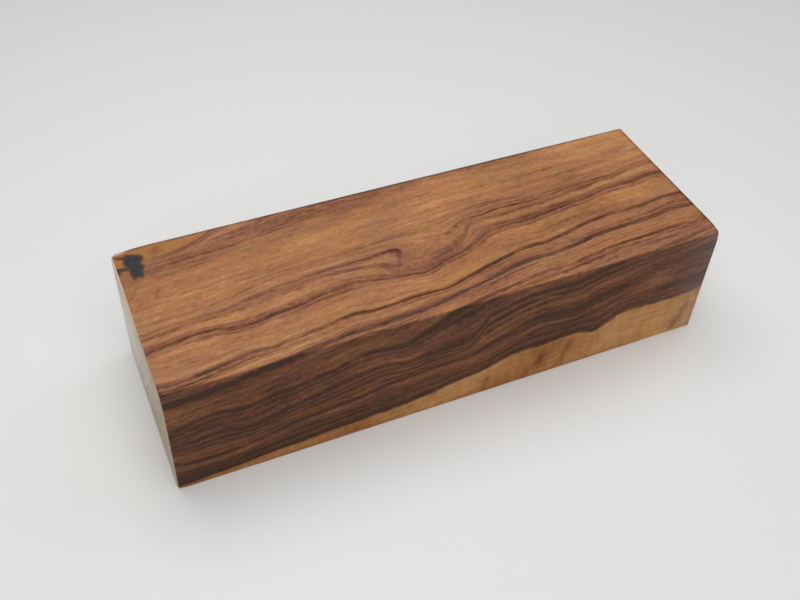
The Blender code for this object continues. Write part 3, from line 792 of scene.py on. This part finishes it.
# The colours of both woods by how dark they are: plain at 0 and darkest at 1.
HEARTWOOD = (
    (-0.3, (0.545, 0.26, 0.12, 1)),
    (0.0, (0.412, 0.184, 0.08, 1)),
    (0.3, (0.304, 0.124, 0.057, 1)),
    (0.55, (0.202, 0.076, 0.036, 1)),
    (0.75, (0.144, 0.054, 0.025, 1)),
    (1.0, (0.074, 0.032, 0.015, 1)),
)
SAPWOOD = (
    (-0.3, (0.74, 0.425, 0.175, 1)),
    (0.0, (0.615, 0.325, 0.122, 1)),
    (0.5, (0.41, 0.172, 0.054, 1)),
    (1.0, (0.2, 0.07, 0.022, 1)),
)
# These multiply the heartwood's colour fully where the tint is this far above or below 0.
PURPLE = (0.84, 0.90, 1.22, 1)
GOLDEN = (1.04, 1.12, 0.75, 1)
FULL_TINT = 1.6

BARK = (0.034, 0.037, 0.042, 1)
BARK_FLAKES = (0.085, 0.066, 0.054, 1)
BARK_RIM = (0.085, 0.048, 0.034, 1)
THIN_SEALER = (0.53, 0.42, 0.31, 1)
# The pale sealer colour is partly a painted sheen of the pale surroundings.
THICK_SEALER_AND_SHEEN = (0.95, 0.90, 0.83, 1)
WARM_SEALER = (0.95, 0.72, 0.56, 1)
FILM = (0.30, 0.36, 0.42, 1)
FILM_STRENGTH = 0.14

# The noises in the wood: the attribute that each is drawn over, about how often it repeats along
# the three directions there, its detail and its roughness.
NOISES = {
    "wander": ("layers", (0.12, 0.7, 0.5), 2, 0.5),
    "layers": ("layers", (0.08, 1.2, 0.15), 4, 0.65),
    "colours": ("layers", (0.15, 1.5, 0.8), 3, 0.5),
    "clouds": ("layers", (0.09, 0.35, 0.25), 3, 0.5),
    "breaks": ("layers", (0.22, 0.6, 0.5), 2, 0.5),
    "stains": ("layers", (0.5, 0.14, 0.12), 3, 0.6),
    "fibre": ("fibres", (0.55, 2.0, 2.0), 3, 0.6),
    "pores": ("fibres", (0.6, 4.2, 4.2), 1, 0.5),
    "flakes": ("fibres", (0.8, 1.1, 1.1), 4, 0.6),
}

# How much the noises move the rings, darken both woods, turn the tint, fray the edges of the bark
# and of the sealer, and mottle the sealer.
RING_NOISES = {"wander": 0.9, "fibre": 0.7}
HEARTWOOD_NOISES = {"clouds": 0.5, "layers": 0.8, "fibre": 0.92}
SAPWOOD_NOISES = {"fibre": 0.5, "layers": 0.9, "stains": 0.8}
TINT_NOISES = {"clouds": 2.0}
BARK_NOISES = {"fibre": 0.6}
END_NOISES = {"flakes": 0.08}
SEALER_NOISES = {"clouds": 1.0, "flakes": 0.6}

# Each pair of limits below is where something starts and where it is full.

# Along a streak, its strength changes between two values.
BREAK_LIMITS = (0.3, 0.65)
STREAK_STRENGTHS = (0.6, 1.45)
# The pores are dark specks, sunk a little below the surface.
PORE_LIMITS = (0.55, 0.75)
PORE_SHADE = 0.25
SUNK_LIMITS = (0.58, 0.72)
# Random hues multiply the red, green and blue of the wood. They are centred on 1 and have these
# ranges. They show more in dark heartwood than in light, and this much in the sapwood.
HUE_RANGES = (1.0, 1.0, 1.9)
DARK_LIMITS = (0.2, 0.9)
HEARTWOOD_HUES = (0.55, 1.0)
SAPWOOD_HUES = 0.45
# The sapwood, by ring, and the bark and its brown rim, by the distance outside the bark.
SAPWOOD_LIMITS = (SAPWOOD_RING, SAPWOOD_RING - 0.6)
BARK_LIMITS = (0.35, -0.25)
BARK_RIM_LIMITS = (-0.9, -0.1)
FLAKE_LIMITS = (0.45, 0.75)
# The sealer and its pale rim, by the distance past the end. The rim's thickness is the first number
# times the sealer's own, plus the second.
SEALED_LIMITS = (-0.28, -0.12)
END_RIM_LIMITS = (-0.01, -0.05)
END_RIM_THICKNESS = (0.5, 0.12)
SEALER_COVER = 0.97

# The wood's gloss and its shallow relief: raised fibres and sunk pores.
SPECULAR_LEVEL = 0.13
FIBRE_LIMITS = (0.2, 0.8)
ROUGHNESS = (0.48, 0.62)
FIBRE_RELIEF = 0.6
RELIEF_STRENGTH = 0.25
RELIEF_DEPTH = 0.05 * MM

# Streaks take four stops each in a colour ramp, which holds 32. Their middle third is fully dark,
# and the ramp runs on past the outer ones by this many rings.
RAMP_MARGIN = 1.5
STREAKS_PER_RAMP = 7


def streak_profile(shader, ring):
    """How deep in a dark streak each ring lies, from 0 to 1."""
    total = 0.0
    for start in range(0, len(STREAKS), STREAKS_PER_RAMP):
        group = sorted(STREAKS[start : start + STREAKS_PER_RAMP])
        stops = [(group[0][0] - RAMP_MARGIN, 0.0), (group[-1][0] + RAMP_MARGIN, 0.0)]
        for centre, half_width, _ in group:
            core = half_width / 3
            stops += [(centre - half_width, 0.0), (centre - core, 1.0)]
            stops += [(centre + core, 1.0), (centre + half_width, 0.0)]
        stops = [(at, (level, level, level, 1)) for at, level in sorted(stops)]
        total = shader.math("MAXIMUM", total, shader.ramp(ring, stops, "EASE"))
    return total


def wood_noises(shader):
    noises = {}
    for name, (attribute, *settings) in NOISES.items():
        noises[name] = shader.noise(shader.attribute(attribute, "Vector"), *settings)
    return noises


def random_hues(shader, noises):
    """Random colours about white, to multiply into those of the wood."""
    lowest = [1 - extent / 2 for extent in HUE_RANGES]
    inputs = {0: noises["colours"].node.outputs["Color"], 1: HUE_RANGES, 2: lowest}
    return shader.add("ShaderNodeVectorMath", inputs, operation="MULTIPLY_ADD")


def heartwood_colour(shader, noises, ring, hues):
    streak = shader.math("MULTIPLY", streak_profile(shader, ring), shader.attribute("streak"))
    strength = shader.between(noises["breaks"], BREAK_LIMITS, STREAK_STRENGTHS)
    dark = shader.math("MULTIPLY", streak, strength)
    for name in ("shade", "mark"):
        dark = shader.math("ADD", dark, shader.attribute(name))
    dark = shader.vary(dark, noises, HEARTWOOD_NOISES)
    dark = shader.math("ADD", dark, shader.between(noises["pores"], PORE_LIMITS, (0, PORE_SHADE)))
    colour = shader.ramp(dark, HEARTWOOD)
    tint = shader.vary(shader.attribute("tint"), noises, TINT_NOISES)
    for limit, tinted in ((FULL_TINT, PURPLE), (-FULL_TINT, GOLDEN)):
        share = shader.between(tint, (0, limit), straight=True)
        colour = shader.mix(share, colour, tinted, "MULTIPLY")
    return shader.mix(shader.between(dark, DARK_LIMITS, HEARTWOOD_HUES), colour, hues, "MULTIPLY")


def sapwood_colour(shader, noises, hues):
    dark = shader.math("ADD", shader.attribute("sapwood_shade"), shader.attribute("mark"))
    dark = shader.vary(dark, noises, SAPWOOD_NOISES)
    return shader.mix(SAPWOOD_HUES, shader.ramp(dark, SAPWOOD), hues, "MULTIPLY")


def bark_over(shader, noises, wood):
    """The colour with the bark pocket in the wood."""
    outside = shader.vary(shader.attribute("bark"), noises, BARK_NOISES)
    bark = shader.mix(shader.between(noises["flakes"], FLAKE_LIMITS), BARK, BARK_FLAKES)
    bark = shader.mix(shader.between(outside, BARK_RIM_LIMITS), bark, BARK_RIM)
    return shader.mix(shader.between(outside, BARK_LIMITS), wood, bark)


def sealer_over(shader, noises, wood):
    """The colour with the sealer over the wood at the ends, its paleness partly painted sheen."""
    end = shader.vary(shader.attribute("end"), noises, END_NOISES)
    thickness_and_sheen = shader.attribute("sealer_and_sheen")
    rim = shader.math("MULTIPLY_ADD", thickness_and_sheen, *END_RIM_THICKNESS)
    rim = shader.between(end, END_RIM_LIMITS, (0, rim))
    thickness_and_sheen = shader.math("MAXIMUM", shader.vary(thickness_and_sheen, noises, SEALER_NOISES), rim)
    pale_sealer_and_sheen = shader.mix(shader.attribute("warmth"), THICK_SEALER_AND_SHEEN, WARM_SEALER)
    sealer_and_sheen = shader.mix(thickness_and_sheen, THIN_SEALER, pale_sealer_and_sheen)
    cover = shader.math("MULTIPLY", shader.between(end, SEALED_LIMITS), SEALER_COVER)
    return shader.mix(cover, wood, sealer_and_sheen)


def wood_relief(shader, noises):
    raised = shader.math("MULTIPLY", noises["fibre"], FIBRE_RELIEF)
    height = shader.math("SUBTRACT", raised, shader.between(noises["pores"], SUNK_LIMITS))
    inputs = {"Height": height, "Strength": RELIEF_STRENGTH, "Distance": RELIEF_DEPTH}
    return shader.add("ShaderNodeBump", inputs)


def wood_material():
    shader = Shader("ironwood")
    noises = wood_noises(shader)
    hues = random_hues(shader, noises)
    ring = shader.vary(shader.attribute("ring"), noises, RING_NOISES)
    heartwood = heartwood_colour(shader, noises, ring, hues)
    sapwood = sapwood_colour(shader, noises, hues)
    wood = shader.mix(shader.between(ring, SAPWOOD_LIMITS), heartwood, sapwood)
    film = shader.math("MULTIPLY", shader.attribute("film"), FILM_STRENGTH)
    wood = bark_over(shader, noises, shader.mix(film, wood, FILM))
    inputs = shader.surface.inputs
    shader.plug(inputs["Base Color"], sealer_over(shader, noises, wood))
    shader.plug(inputs["Roughness"], shader.between(noises["fibre"], FIBRE_LIMITS, ROUGHNESS))
    shader.plug(inputs["Normal"], wood_relief(shader, noises))
    inputs["Specular IOR Level"].default_value = SPECULAR_LEVEL
    return shader.material


def make_stage():
    corners = np.array(((-1, -1, 0), (1, -1, 0), (1, 1, 0), (-1, 1, 0))) * FLOOR_HALF_SIZE
    floor = mesh_object("floor", corners - (0, 0, FLOOR_DROP), np.array([(0, 1, 2, 3)]))
    shader = Shader("floor")
    inputs = shader.surface.inputs
    inputs["Base Color"].default_value = FLOOR_COLOUR
    inputs["Roughness"].default_value = FLOOR_ROUGHNESS
    inputs["Specular IOR Level"].default_value = FLOOR_SPECULAR_LEVEL
    floor.data.materials.append(shader.material)


def make_lights():
    world = bpy.data.worlds.new("studio")
    world.use_nodes = True
    inputs = world.node_tree.nodes["Background"].inputs
    inputs["Color"].default_value = (1, 1, 1, 1)
    inputs["Strength"].default_value = AMBIENT
    bpy.context.scene.world = world
    for name, place, size, watts in SOFTBOXES:
        data = bpy.data.lights.new(name, "AREA")
        data.shape = "DISK"
        data.size = size
        data.energy = watts
        light = bpy.data.objects.new(name, data)
        light.location = place
        light.rotation_euler = Vector(place).to_track_quat("Z", "Y").to_euler()
        bpy.context.scene.collection.objects.link(light)


def make_camera():
    azimuth, elevation, roll = CAMERA_AZIMUTH, CAMERA_ELEVATION, CAMERA_ROLL
    flat = math.cos(elevation)
    back = Vector((math.sin(azimuth) * flat, -math.cos(azimuth) * flat, math.sin(elevation)))
    level = Vector((math.cos(azimuth), math.sin(azimuth), 0))
    upright = back.cross(level)
    right = math.cos(roll) * level + math.sin(roll) * upright
    up = math.cos(roll) * upright - math.sin(roll) * level
    place = CAMERA_OFFSET[0] * right + CAMERA_OFFSET[1] * up + CAMERA_DISTANCE * back
    data = bpy.data.cameras.new("camera")
    data.lens = LENS
    data.sensor_width = SENSOR_WIDTH
    data.clip_start = NEAREST_SEEN
    camera = bpy.data.objects.new("camera", data)
    camera.matrix_world = Matrix.Translation(place) @ Matrix((right, up, back)).transposed().to_4x4()
    bpy.context.scene.collection.objects.link(camera)
    bpy.context.scene.camera = camera


bpy.context.scene.view_settings.view_transform = "Standard"
make_camera()
make_lights()
make_stage()
block = make_block()
block.data.materials.append(wood_material())
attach(block, "root")
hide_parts(NODE)
